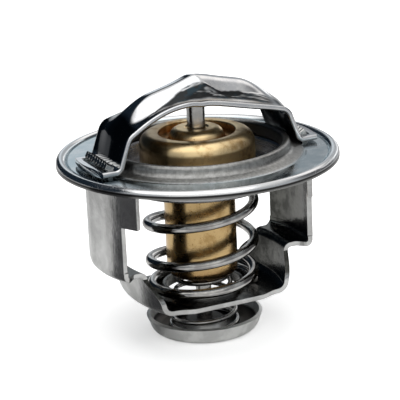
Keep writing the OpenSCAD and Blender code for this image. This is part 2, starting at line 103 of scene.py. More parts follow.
# Wax element. The outer wall of its head reaches lower than the solid's by HEAD_DROP.
CASE_R = 6.85
CASE_LEN = 24.6
CASE_WALL = 0.9
CASE_CORNER = 1.6
CASE_CHAMFER = 0.8
BOSS_R = 3
BOSS_LEN = 1.4
BOSS_CHAMFER = 0.3
HEAD_Z = 0.12
HEAD_DROP = 2.7
HEAD_H = 3.8
HEAD_R = 11.05
HEAD_WALL = 0.9
HEAD_ROUND = 2.4
HEAD_ROUND_TURN = 84
HEAD_FOOT_ROUND = 0.6
PACKING_H = 1.4
CRIMP_R = 7.35
CRIMP_ROUND = 0.3
HEAD_FOOT_Z = HEAD_Z - HEAD_DROP
HEAD_TOP_Z = HEAD_Z + HEAD_H
CASE_Z = HEAD_Z - CASE_LEN
BOSS_Z = CASE_Z - BOSS_LEN

# Main valve. Its levels and radii are those of the middle of the sheet and of the centres of its bends.
VALVE_T = 0.8
VALVE_BEND = 0.9
VALVE_BEND_R = 11.8
TROUGH_Z = -5.8
TROUGH_BEND = 1.2
VALVE_LIP_Z = -1.02
VALVE_LIP_R = 17.25

# Bridge. Its middle line follows the crown, the shoulders, the legs and the feet.
BRIDGE_T = 1
BRIDGE_W = 13
BRIDGE_H = 11
SHOULDER_H = 7.4
SHOULDER_X = 15.7
SHOULDER_BEND = 2.5
LEG_SLOPE = 70
FOOT_BEND = 1.3
FOOT_Z = 0.28
FOOT_TIP_R = 23.4
FOOT_ROUND = 3
CROWN_STEPS = 60
BEND_STEPS = 12
LEG_STEPS = 8
FOOT_STEPS = 10
SECTION_STEPS = 44
EDGE_R = 0.35
EDGE_STEPS = 3

# Rib pressed along the bridge. It fades out towards the feet, and a share of its height, RIB_PEAK,
# rises only at midspan.
RIB_H = 3.7
RIB_TOP_HALF_W = 0.5
RIB_HALF_W = 5.6
RIB_END_X = 20.5
RIB_FADE = 12
RIB_PEAK = 0.23
RIB_PEAK_W = 4

# Askew edges of the bridge, dip of its edges beside the boss, and ridge across its crown
EDGE_SKEW = 0.85
EDGE_DIP = 0.2
EDGE_DIP_X = -1.7
EDGE_DIP_W = 1.2
RIDGE_H = 0.35
RIDGE_X = -0.8
RIDGE_SLANT = 0.55
RIDGE_W = 1.3
RIDGE_ROUND = 0.02
RIDGE_HALF_LEN = 6
RIDGE_FADE = 3

# Boss under the crown of the bridge, with the blind bore that holds the piston
PISTON_R = 1.75
SOCKET_D = 5.6
SOCKET_DEPTH = 1.6
SOCKET_COVER = 1.2
SOCKET_CROWN_H = 1.4
SOCKET_CORE_R = 0.2
SOCKET_MOUTH_ROUND = 0.2
SOCKET_EDGE_ROUND = 0.3
SOCKET_SIDES = 96

# Lower frame: creased legs, and tabs that pass through slots in the bridge's feet. The creases are
# given by their distances from the middle of a leg.
FRAME_T = 0.9
LEG_R = 21.6
PANEL_HALF_W = 3.5
LEG_CREASES = (PANEL_HALF_W, 5.6, 7.9)
LEG_DEPTH = 20.8
TAB_HALF_W = 5.2
SLOT_CLEAR = 0.1
SLOT_GAP = 0.6
# Bend at the legs' foot that takes up the flat panels: heights about the foot, and distances inwards
# from the legs. Vertices nearer than WELD become one.
BEND_TOP = 3
BEND_LOW = 0.2
BEND_FADE = 1.6
BEND_REACH = 1
BEND_REACH_FADE = 0.8
WELD = 0.002

# Angles between faces above which an edge stays sharp
SHARP_ANGLE = 35
FRAME_SHARP_ANGLE = 25

# Soft borders of the zones of colour, each with its start and its end. R is a radius, Z a height, X and
# Y are distances along and across the bridge, and the others run along FAR_SIDE or RIGHT_SIDE.
ANNULUS_R = (19.8, 20.6)
BEAD_R = (25.1, 25.6)
# Painted shade in the far side of the collar's throat
THROAT_R = (16.7, 17.0)
THROAT_Z = (1.3, 1.7)
THROAT_FAR = (-7, 5)
# Painted shade on the rim's edge under the bead
RIM_EDGE_R = (25.6, 26.0)
RIM_EDGE_Z = (-0.9, -0.7)
RIM_SHADE_Z = (-1.3, -1.15)
CROWN_X = (13, 16)
CROWN_Z = (6, 8)
# Marbled bands of painted dark reflection on the rib's flanks
BAND_INNER_Y = (2.1, 2.5)
BAND_OUTER_Y = (4.6, 5.4)
MARGIN_INNER_Y = (4.7, 5.3)
MARGIN_OUTER_Y = (6.1, 6.25)
# Painted dark reflection on the legs of the bridge
STRAP_LEG_X = (14.2, 15.6)
STRAP_LEG_Y = (5.95, 6.2)
STRAP_LEG_Z = (1.2, 2.2)
# Heights and radii of the hollows with painted shade, in the frame and in the cup
FRAME_HOLLOW_Z = (-2, -1.5)
CUP_HOLLOW_R = (9.9, 10.1)
RECESS_R = (7.2, 7.6)
RECESS_FLOOR_Z = (1.2, 1.6)
RECESS_TOP_Z = (2.4, 4.2)
HEAD_END_Z = (-4, -3.5)
# Painted dark reflection on the left of the head and of the body
HEAD_REFLECTION = (-5.4, -4.6)
BODY_REFLECTION_START = (-4.4, -3.9)
BODY_REFLECTION_END = (-2.4, -1.9)
FOOT_STAIN_Z = (-21, -18)
# Shift of the marbled bands' inner border along the bridge: places, and the shift at each
BAND_SHIFT_LEFT = (-12, -2, 2.6, 0)
BAND_SHIFT_RIGHT = (0, 4, 0, 0.9)
# Directions towards the object's far side and its right side, as the photograph shows it
FAR_SIDE = (0.44, 0.9, 0)
RIGHT_SIDE = (0.9, -0.44, 0)

# Noise round the axis: lean of its rings along the axis, and what keeps a division off zero
RING_LEAN = 1.37
TINY = 0.001

# Floor and its light, with the sides and the distance in metres and the power in watts
FLOOR_SIDE = 3.0
FLOOR_COLOUR = (0.95, 0.95, 0.95)
FLOOR_GLOW = 0.45
LIGHT_ELEVATION = 88
LIGHT_DISTANCE = 1.2
LIGHT_SIDE = 1.2
LIGHT_POWER = 9
# What reflections see of the floor: darker away from the object, and dark in a sector on the left
FLOOR_DARK = (30, 160, 0.15, 0.6)
SECTOR_AZIMUTH = -95
SECTOR_COSINE = (0.86, 0.96)
SECTOR_DARK = 0.95
# Sky that reflections see: sine of the height above the horizon, and colour
SKY = [(0.0, (0.34, 0.35, 0.37)), (0.25, (0.36, 0.38, 0.40)), (0.5, (0.42, 0.43, 0.44)),
       (0.72, (0.55, 0.55, 0.55)), (0.9, (0.74, 0.74, 0.74)), (1.0, (0.95, 0.95, 0.95))]
# Panels that reflections see: azimuth, elevation, turn, half width, half height, softness, colour.
# The halves and the softness are tangents of the angles under which the object sees them.
PANELS = [(-142, 16, 0, 1.15, 0.95, 0.08, (0.010, 0.016, 0.024)),
          (88, 10, 0, 0.45, 0.60, 0.25, (0.10, 0.10, 0.105)),
          (-35, 62, 0, 0.75, 0.35, 0.12, (1.35, 1.35, 1.33)),
          (-20, 20, 0, 0.60, 0.30, 0.15, (0.85, 0.85, 0.84)),
          (122, 14, -28, 0.45, 0.07, 0.03, (1.2, 1.2, 1.2)),
          (160, 14, 0, 0.10, 0.20, 0.06, (0.66, 0.71, 0.75)),
          (128, 40, 0, 0.40, 0.17, 0.10, (1.05, 1.02, 1.0)),
          (0, 90, 0, 0.42, 0.42, 0.08, (1.35, 1.35, 1.35))]


# Geometry helpers
def blend_step(t):
    """Smooth step from 0 to 1, flat at both ends."""
    t = max(0.0, min(1.0, t))
    return t * t * (3 - 2 * t)


def arc(centre, radius, start, end, steps):
    """Points of an arc in a plane."""
    angles = [math.radians(start + (end - start) * i / steps) for i in range(steps + 1)]
    return [(centre[0] + radius * math.cos(a), centre[1] + radius * math.sin(a)) for a in angles]


def add_mesh(name, points, faces):
    """New smooth mesh object from points in millimetres."""
    mesh = bpy.data.meshes.new(name)
    mesh.from_pydata([Vector(p) * MM for p in points], [], faces)
    mesh.validate()
    mesh.shade_smooth()
    mesh.set_sharp_from_angle(angle=math.radians(SHARP_ANGLE))
    piece = bpy.data.objects.new(name, mesh)
    bpy.context.scene.collection.objects.link(piece)
    return piece


def skin(rings):
    """Closed skin of quads over equal rings of points, which run clockwise seen along the path."""
    count = len(rings[0])
    points = [p for ring in rings for p in ring]
    faces = []
    for i in range(len(rings) - 1):
        for j in range(count):
            k = (j + 1) % count
            faces.append((i * count + j, i * count + k, (i + 1) * count + k, (i + 1) * count + j))
    last = (len(rings) - 1) * count
    faces.append(tuple(reversed(range(count))))
    faces.append(tuple(range(last, last + count)))
    return points, faces


def lathe(name, profile, sides):
    """Closed ring of revolution about the axis, from a closed profile of (radius, height) points."""
    count = len(profile)
    points = []
    for i in range(sides):
        a = 2 * math.pi * i / sides
        points += [(r * math.cos(a), r * math.sin(a), RIM_Z + z) for r, z in profile]
    faces = []
    for i in range(sides):
        for j in range(count):
            k, m = (j + 1) % count, (i + 1) % sides
            faces.append((i * count + j, m * count + j, m * count + k, i * count + k))
    return add_mesh(name, points, faces)


def heading(path, i):
    """Direction of a plane path at one of its points."""
    before, after = path[max(i - 1, 0)], path[min(i + 1, len(path) - 1)]
    return Vector((after[0] - before[0], after[1] - before[1])).normalized()


def ribbon(path, t):
    """Closed outline of a sheet of thickness t along its middle line."""
    left, right = [], []
    for i, (r, z) in enumerate(path):
        along = heading(path, i)
        left.append((r - along.y * t / 2, z + along.x * t / 2))
        right.append((r + along.y * t / 2, z - along.x * t / 2))
    return right + list(reversed(left))


def cut_away(piece, cutters):
    """Cuts the cutters out of the piece and deletes them."""
    for cutter in cutters:
        modifier = piece.modifiers.new("cut", "BOOLEAN")
        modifier.operation = "DIFFERENCE"
        modifier.solver = "EXACT"
        modifier.object = cutter
    graph = bpy.context.evaluated_depsgraph_get()
    cut_mesh = bpy.data.meshes.new_from_object(piece.evaluated_get(graph))
    piece.modifiers.clear()
    piece.data = cut_mesh
    for cutter in cutters:
        bpy.data.objects.remove(cutter)


# Springs
def wound_wire(name, wire_d, radii, seats, turns, start, closed, drop=0):
    """Round wire between two seats, with closed ends and a mean radius that runs from one to another.

    It lies flat where it would come nearer to its top seat than drop."""
    foot, top = seats[0] + wire_d / 2, seats[1] - wire_d / 2
    steps = round(turns * RINGS_PER_TURN)

    def rise(u):
        """Share of the height reached after u turns, none of it over the closed ends."""
        t = max(0.0, min(1.0, (u - closed) / (turns - 2 * closed)))
        return 0.5 * t + 0.25 * (1 - math.cos(math.pi * t))

    def point(u):
        """Middle of the wire after u turns."""
        a = math.radians(start + 360 * u)
        r = radii[0] + (radii[1] - radii[0]) * u / turns
        return Vector((r * math.cos(a), r * math.sin(a), min(foot + (top - foot) * rise(u), top - drop)))

    places = [(0, slide, size) for slide, size in WIRE_END]
    places += [(i / RINGS_PER_TURN, 0, 1.0) for i in range(1, steps)]
    places += [(turns, -slide, size) for slide, size in reversed(WIRE_END)]
    turns_round = [2 * math.pi * j / WIRE_SIDES for j in range(WIRE_SIDES)]
    rings = []
    for u, slide, size in places:
        a = math.radians(start + 360 * u)
        along = (point(min(u + WIRE_STEP, turns)) - point(max(u - WIRE_STEP, 0))).normalized()
        out = Vector((math.cos(a), math.sin(a), 0))
        up = out.cross(along)
        centre = point(u) + along * slide * wire_d
        rings.append([centre + (math.cos(b) * out - math.sin(b) * up) * (wire_d / 2 * size)
                      for b in turns_round])
    return add_mesh(name, *skin(rings))


# Bridge
def bridge_path():
    """Middle line of half the bridge, from its crown to the tip of a foot."""
    slope = math.atan(2 * (BRIDGE_H - SHOULDER_H) / SHOULDER_X)
    leg = math.radians(LEG_SLOPE)
    bend = (SHOULDER_X - SHOULDER_BEND * math.sin(slope),
            SHOULDER_H - BRIDGE_T / 2 - SHOULDER_BEND * math.cos(slope))
    top = (bend[0] + SHOULDER_BEND * math.sin(leg), bend[1] + SHOULDER_BEND * math.cos(leg))
    root_z = FOOT_Z + FOOT_BEND * (1 - math.cos(leg))
    root_x = top[0] + (top[1] - root_z) / math.tan(leg)
    crown = [(x, BRIDGE_H - BRIDGE_T / 2 - (BRIDGE_H - SHOULDER_H) * (x / SHOULDER_X) ** 2)
             for x in (SHOULDER_X * i / CROWN_STEPS for i in range(CROWN_STEPS))]
    shoulder = arc(bend, SHOULDER_BEND, 90 - math.degrees(slope), 90 - LEG_SLOPE, BEND_STEPS)
    wall = [(top[0] + (root_x - top[0]) * i / LEG_STEPS, top[1] + (root_z - top[1]) * i / LEG_STEPS)
            for i in range(1, LEG_STEPS)]
    foot = arc((root_x + FOOT_BEND * math.sin(leg), FOOT_Z + FOOT_BEND), FOOT_BEND,
               270 - LEG_SLOPE, 270, BEND_STEPS)
    heel_x = foot[-1][0]
    flat = [(heel_x + (FOOT_TIP_R - heel_x) * i / FOOT_STEPS, FOOT_Z) for i in range(1, FOOT_STEPS + 1)]
    return crown + shoulder + wall + foot + flat


def bridge_lift(x, y):
    """Lift of the sheet above its middle line: rib, askew edges, dip of the edges and ridge."""
    w = BRIDGE_W / 2
    along = 1 - RIB_PEAK * (1 - math.exp(-(x / RIB_PEAK_W) ** 2))
    along *= blend_step((RIB_END_X - abs(x)) / RIB_FADE)
    across = 1 - blend_step((abs(y) - RIB_TOP_HALF_W) / (RIB_HALF_W - RIB_TOP_HALF_W))
    askew = abs(x) < SHOULDER_X and min(x, y) < 0
    skew = math.sin(math.pi * x / SHOULDER_X) * y / w if askew else 0
    dip = EDGE_DIP * math.exp(-((x - EDGE_DIP_X) / EDGE_DIP_W) ** 2) * (y / w) ** 2
    from_ridge = x - RIDGE_X + RIDGE_SLANT * y
    ridge = RIDGE_H * math.exp(-math.sqrt(from_ridge ** 2 + RIDGE_ROUND) / RIDGE_W)
    ridge *= blend_step((RIDGE_HALF_LEN - abs(y)) / RIDGE_FADE)
    return RIB_H * along * across + EDGE_SKEW * skew - dip + ridge


def bridge_section():
    """Closed section with rounded edges, clockwise along the bridge: (across, through the sheet)."""
    half_w, half_t = BRIDGE_W / 2 - EDGE_R, BRIDGE_T / 2 - EDGE_R
    rows = [half_w * (2 * i / SECTION_STEPS - 1) for i in range(SECTION_STEPS + 1)]
    right = arc((half_w, half_t), EDGE_R, 90, 0, EDGE_STEPS)[1:]
    right += arc((half_w, -half_t), EDGE_R, 0, -90, EDGE_STEPS)[:-1]
    left = arc((-half_w, -half_t), EDGE_R, 270, 180, EDGE_STEPS)[1:]
    left += arc((-half_w, half_t), EDGE_R, 180, 90, EDGE_STEPS)[:-1]
    top = [(y, BRIDGE_T / 2) for y in rows]
    low = [(y, -BRIDGE_T / 2) for y in reversed(rows)]
    return list(reversed(top + right + low + left))


def slot_cutter(side):
    """Block for the slot of one foot, with the creased plan of the frame's tab."""
    grown = TAB_HALF_W + SLOT_CLEAR
    outer, inner = LEG_R + SLOT_CLEAR, LEG_R - FRAME_T - SLOT_CLEAR
    turns = [-math.asin(grown / LEG_R), -math.asin(PANEL_HALF_W / LEG_R)]
    turns += [-a for a in reversed(turns)]
    plan = [(inner * math.cos(a), inner * math.sin(a)) for a in turns]
    plan += [(outer * math.cos(a) + SLOT_GAP, outer * math.sin(a)) for a in reversed(turns)]
    levels = (FOOT_Z - 2 * BRIDGE_T, FOOT_Z + 2 * BRIDGE_T)
    rings = [[(side * x, side * y, RIM_Z + z) for x, y in reversed(plan)] for z in levels]
    return add_mesh("slot", *skin(rings))


def make_bridge():
    """Bridge as one smooth sheet. Its feet end in arcs about the axis."""
    half = bridge_path()
    path = [(-x, z) for x, z in reversed(half[1:])] + half
    section = bridge_section()
    rings = []
    for i, (x, z) in enumerate(path):
        along = heading(path, i)
        share = blend_step((abs(x) - FOOT_TIP_R + FOOT_ROUND) / FOOT_ROUND)
        ring = []
        for y, through in section:
            offset = bridge_lift(x, y) + through
            reach = math.sqrt(FOOT_TIP_R ** 2 - y ** 2)
            place_x = (x - offset * along.y) * (1 - share * (1 - reach / FOOT_TIP_R))
            ring.append((place_x, y, RIM_Z + z + offset * along.x))
        rings.append(ring)
    piece = add_mesh("bridge_sheet", *skin(rings))
    cut_away(piece, [slot_cutter(1), slot_cutter(-1)])
    piece.data.set_sharp_from_angle(angle=math.radians(SHARP_ANGLE))
    return piece


def make_piston_boss():
    """Boss under the crown of the bridge, with the blind bore that holds the piston."""
    top_z = BRIDGE_H + RIB_H - BRIDGE_T - SOCKET_COVER
    foot_z = top_z - SOCKET_DEPTH
    crown_z = top_z + SOCKET_CROWN_H
    bore_r, boss_r = PISTON_R + SEAT_GAP, SOCKET_D / 2
    mouth, edge = SOCKET_MOUTH_ROUND, SOCKET_EDGE_ROUND
    profile = arc((bore_r + mouth, foot_z + mouth), mouth, 180, 270, 3)
    profile += arc((boss_r - edge, foot_z + edge), edge, -90, 0, 4)
    profile += [(boss_r, top_z), (RIB_HALF_W / 4, crown_z), (SOCKET_CORE_R, crown_z),
                (SOCKET_CORE_R, top_z), (bore_r, top_z)]
    return lathe("bridge_boss", profile, SOCKET_SIDES)


# Lower frame
def creased_radius(y):
    """Radius of a leg's outside at a distance from its middle, where its panels are flat."""
    turn = math.asin(min(abs(y) / LEG_R, 1))
    stops = [-math.asin(PANEL_HALF_W / LEG_R)] + [math.asin(half / LEG_R) for half in LEG_CREASES]
    for low, high in zip(stops, stops[1:]):
        if turn <= high:
            return LEG_R * math.cos((high - low) / 2) / math.cos(turn - (high + low) / 2)
    return LEG_R


def make_frame_sheet(node):
    """Copy of the lower frame whose legs keep their flat panels into the bend at their feet."""
    mesh = node.data.copy()
    piece = bpy.data.objects.new("frame_sheet", mesh)
    bpy.context.scene.collection.objects.link(piece)
    foot_z = RIM_Z - LEG_DEPTH
    inner_r = LEG_R - FRAME_T - BEND_REACH
    work = bmesh.new()
    work.from_mesh(mesh)
    bmesh.ops.remove_doubles(work, verts=work.verts, dist=WELD * MM)
    for vertex in work.verts:
        x, y, z = (c / MM for c in vertex.co)
        reach = math.hypot(x, y)
        if reach > inner_r and z < foot_z + BEND_TOP:
            share = blend_step((z - foot_z + BEND_LOW) / BEND_FADE)
            share *= blend_step((reach - inner_r) / BEND_REACH_FADE)
            pull = 1 - share * (1 - min(creased_radius(y) / LEG_R, 1))
            vertex.co.x *= pull
            vertex.co.y *= pull
    work.to_mesh(mesh)
    work.free()
    # The copied normals don't fit the moved faces
    if "custom_normal" in mesh.attributes:
        mesh.attributes.remove(mesh.attributes["custom_normal"])
    mesh.shade_smooth()
    mesh.set_sharp_from_angle(angle=math.radians(FRAME_SHARP_ANGLE))
    return piece


# Wax element
def make_brass_case():
    """Case of the element, with the deep wall of its crimped head and the hollow for wax and boot."""
    packing_r, wax_r = HEAD_R - HEAD_WALL, CASE_R - CASE_WALL
    packing_z, floor_z = HEAD_Z + HEAD_WALL, CASE_Z + CASE_WALL
    guide_z = packing_z + PACKING_H
    corner, heel, crimp = CASE_CORNER, HEAD_FOOT_ROUND, CRIMP_ROUND
    profile = [(AXIS_R, BOSS_Z), (BOSS_R - BOSS_CHAMFER, BOSS_Z), (BOSS_R, BOSS_Z + BOSS_CHAMFER),
               (BOSS_R, CASE_Z)]
    profile += arc((CASE_R - corner, CASE_Z + corner), corner, -90, 0, 10) + [(CASE_R, HEAD_FOOT_Z)]
    profile += arc((HEAD_R - heel, HEAD_FOOT_Z + heel), heel, -90, 0, 5)
    profile += arc((HEAD_R - HEAD_ROUND, HEAD_TOP_Z - HEAD_ROUND), HEAD_ROUND, 0, HEAD_ROUND_TURN, 14)
    profile += arc((CRIMP_R + crimp, HEAD_TOP_Z - crimp), crimp, 90, 180, 5)
    profile += [(CRIMP_R, guide_z), (packing_r, guide_z), (packing_r, packing_z), (wax_r, packing_z),
                (wax_r, floor_z + CASE_CHAMFER), (wax_r - CASE_CHAMFER, floor_z), (AXIS_R, floor_z)]
    return lathe("brass_case", profile, TURNED_SIDES)


def make_valve_disc():
    """Main valve: hub under the deep wall of the brass head, trough, and lip under the collar's seat."""
    hub_z = HEAD_FOOT_Z - VALVE_T / 2 - SEAT_GAP
    trough_r = VALVE_BEND_R + VALVE_BEND + TROUGH_BEND
    path = [(CASE_R + SEAT_GAP, hub_z)]
    path += arc((VALVE_BEND_R, hub_z - VALVE_BEND), VALVE_BEND, 90, 0, 6)
    path += arc((trough_r, TROUGH_Z + TROUGH_BEND), TROUGH_BEND, 180, 360, 12)
    path += arc((VALVE_LIP_R, VALVE_LIP_Z - VALVE_BEND), VALVE_BEND, 170, 95, 6)
    path += [(VALVE_LIP_R, VALVE_LIP_Z)]
    return lathe("valve_disc", ribbon(path, VALVE_T), TURNED_SIDES)


# Materials
class Nodes:
    """Node tree with short calls that add and link nodes. An input is a value or a socket."""

    def __init__(self, tree):
        self.tree = tree

    def add(self, kind, inputs=None, **settings):
        """New node, its inputs given by name or number."""
        node = self.tree.nodes.new(kind)
        for setting, value in settings.items():
            setattr(node, setting, value)
        for socket, value in (inputs or {}).items():
            if isinstance(value, bpy.types.NodeSocket):
                self.tree.links.new(value, node.inputs[socket])
            else:
                node.inputs[socket].default_value = value
        return node

    def math(self, operation, a, b=0.0):
        return self.add("ShaderNodeMath", {0: a, 1: b}, operation=operation).outputs[0]

    def plus(self, first, *others):
        for other in others:
            first = self.math("ADD", first, other)
        return first

    def minus(self, a, b):
        return self.math("SUBTRACT", a, b)

    def times(self, first, *others):
        for other in others:
            first = self.math("MULTIPLY", first, other)
        return first

    def larger(self, a, b):
        return self.math("MAXIMUM", a, b)

    def absolute(self, a):
        return self.math("ABSOLUTE", a)

    def vector(self, operation, a, b=(0, 0, 0), **inputs):
        return self.add("ShaderNodeVectorMath", {0: a, 1: b, **inputs}, operation=operation).outputs[0]

    def dot(self, a, b):
        return self.add("ShaderNodeVectorMath", {0: a, 1: b}, operation="DOT_PRODUCT").outputs["Value"]

    def ramp(self, value, low, high, start=0.0, end=1.0):
        """From start, where the value is low, smoothly to end, where it is high."""
        inputs = {"Value": value, "From Min": low, "From Max": high, "To Min": start, "To Max": end}
        return self.add("ShaderNodeMapRange", inputs, interpolation_type="SMOOTHSTEP").outputs[0]

    def fall(self, value, low, high):
        """From 1, where the value is low, smoothly to 0, where it is high."""
        return self.ramp(value, low, high, 1, 0)

    def mix(self, share, a, b):
        """Colour a where share is 0, and b where it is 1."""
        inputs = {"Factor": share}
        inputs[6], inputs[7] = ((*c, 1) if isinstance(c, tuple) else c for c in (a, b))
        return self.add("ShaderNodeMix", inputs, data_type="RGBA").outputs[2]

    def seen_by(self, kind):
        """1 for the Camera or Glossy rays, and 0 for the others."""
        return self.add("ShaderNodeLightPath").outputs[f"Is {kind} Ray"]


class Surface(Nodes):
    """Node tree of one material. Its coordinates are the frame's, in millimetres."""

    def __init__(self, name, colour, metallic, roughness, **constants):
        self.material = bpy.data.materials.new(name)
        self.material.use_nodes = True
        super().__init__(self.material.node_tree)
        self.shader = self.tree.nodes["Principled BSDF"]
        self.shader.inputs["Base Color"].default_value = (*colour, 1)
        self.shader.inputs["Metallic"].default_value = metallic
        self.shader.inputs["Roughness"].default_value = roughness
        for socket, value in constants.items():
            self.shader.inputs[socket.replace("_", " ")].default_value = value
        place = self.add("ShaderNodeTexCoord").outputs["Object"]
        self.place = self.vector("SCALE", place, Scale=1 / MM)
        self.x, self.y, self.z = self.add("ShaderNodeSeparateXYZ", {0: self.place}).outputs
        squares = self.plus(self.times(self.x, self.x), self.times(self.y, self.y))
        self.radius = self.math("SQRT", squares)

    def outside(self, zone):
        """0 nearer the axis than a zone of radii, and 1 beyond it."""
        return self.ramp(self.radius, *zone)

    def inside(self, zone):
        """1 nearer the axis than a zone of radii, and 0 beyond it."""
        return self.fall(self.radius, *zone)

    def above(self, zone):
        """0 below a zone of heights from the rim's crest, and 1 above it."""
        return self.ramp(self.z, RIM_Z + zone[0], RIM_Z + zone[1])

    def below(self, zone, height=None):
        """1 below a zone of heights from the rim's crest, and 0 above it."""
        return self.fall(height or self.z, RIM_Z + zone[0], RIM_Z + zone[1])

    def stretched(self, x, y, z):
        """Coordinates scaled by different amounts along the axes, for grain."""
        return self.vector("MULTIPLY", self.place, (x, y, z))

    def round_the_axis(self, fine, turn):
        """Coordinates that make noise run in rings round the axis."""
        r = self.plus(self.radius, TINY)
        cosine, sine = self.math("DIVIDE", self.x, r), self.math("DIVIDE", self.y, r)
        level = self.times(self.plus(self.radius, self.times(self.z, RING_LEAN)), fine)
        parts = {0: level, 1: self.times(cosine, turn), 2: self.times(sine, turn)}
        return self.add("ShaderNodeCombineXYZ", parts).outputs[0]

    def noise(self, scale, detail=3, rough=0.5, place=None, distort=0.0):
        inputs = {"Vector": place or self.place, "Scale": scale, "Detail": detail,
                  "Roughness": rough, "Distortion": distort}
        return self.add("ShaderNodeTexNoise", inputs).outputs["Fac"]

    def facing_up(self):
        """1 where the surface faces up, 0 where it is upright and -1 where it faces down."""
        normal = self.add("ShaderNodeTexCoord").outputs["Normal"]
        return self.add("ShaderNodeSeparateXYZ", {0: normal}).outputs["Z"]

    def facing_in(self):
        """1 where the surface faces the axis, and -1 where it faces away from it."""
        normal = self.add("ShaderNodeTexCoord").outputs["Normal"]
        inward = self.vector("MULTIPLY", self.place, (-1, -1, 0))
        return self.math("DIVIDE", self.dot(normal, inward), self.plus(self.radius, TINY))

    def hairlines(self, scale, width, tilt):
        """Sparse thin scratches: 1 on a scratch and 0 off it.

        They lie where long cells of noise cross their middle value, within patches of coarser noise."""
        inputs = {"Vector": self.place, "Rotation": tilt}
        turned = self.add("ShaderNodeVectorRotate", inputs, rotation_type="EULER_XYZ").outputs[0]
        long = self.vector("MULTIPLY", turned, (scale, scale * 0.06, scale * 0.06))
        wavy = self.noise(1.0, detail=2, place=long, distort=0.2)
        on_line = self.fall(self.absolute(self.minus(wavy, 0.5)), 0, width)
        patchy = self.ramp(self.noise(0.35, detail=1), 0.52, 0.6)
        return self.times(on_line, patchy)

    def colour(self, value):
        self.tree.links.new(value, self.shader.inputs["Base Color"])

    def roughness(self, value):
        self.tree.links.new(value, self.shader.inputs["Roughness"])

    def relief(self, height, depth, edge=0.1):
        """Bump of a depth, over edges rounded by a radius."""
        rounded = self.add("ShaderNodeBevel", {"Radius": edge * MM}, samples=6).outputs[0]
        inputs = {"Height": height, "Distance": depth * MM, "Strength": 1.0, "Normal": rounded}
        bump = self.add("ShaderNodeBump", inputs).outputs[0]
        self.tree.links.new(bump, self.shader.inputs["Normal"])


def flange_steel():
    """Bright annulus and bead, satin collar, and painted shade in the far throat and under the rim."""
    look = Surface("flange_steel", (0.7, 0.73, 0.76), 1, 0.2)
    annulus = look.outside(ANNULUS_R)
    smudge = look.noise(0.16, detail=4)
    strokes = look.noise(1.0, detail=5, rough=0.7, place=look.stretched(1.5, 1.5, 0.9))
    bright = look.mix(look.ramp(smudge, 0.4, 0.62), (0.50, 0.59, 0.63), (0.68, 0.73, 0.75))
    bright = look.mix(look.outside(BEAD_R), bright, (0.88, 0.89, 0.9))
    satin = look.mix(look.ramp(strokes, 0.35, 0.65), (0.27, 0.27, 0.26), (0.43, 0.43, 0.42))
    # Painted shade: the collar's throat turns nearly black on its far side
    far = look.ramp(look.dot(look.place, FAR_SIDE), *THROAT_FAR)
    throat = look.times(look.inside(THROAT_R), look.below(THROAT_Z), far)
    satin = look.mix(throat, satin, (0.10, 0.10, 0.10))
    # Painted shade on the rim's edge under the bead: nearly black just below it, dark grey lower down
    under = look.times(look.outside(RIM_EDGE_R), look.below(RIM_EDGE_Z))
    shade = look.mix(look.above(RIM_SHADE_Z), (0.30, 0.30, 0.29), (0.05, 0.05, 0.05))
    look.colour(look.mix(under, look.mix(annulus, satin, bright), shade))
    dull = look.plus(0.26, look.times(strokes, 0.16))
    glossy = look.plus(0.09, look.times(look.ramp(smudge, 0.35, 0.7), 0.12))
    scratch = look.times(look.hairlines(2.2, 0.01, (0.3, 0.2, 0.9)), 0.2)
    look.roughness(look.plus(dull, look.times(annulus, look.minus(glossy, dull)), scratch))
    rings = look.noise(1.0, detail=2, place=look.round_the_axis(7, 1.4))
    wavy = look.times(look.noise(0.22, detail=2), 3.0)
    rough = look.times(strokes, look.minus(1.0, annulus), 2.0)
    look.relief(look.plus(rings, wavy, rough), 0.008, edge=0.16)
    return look.material


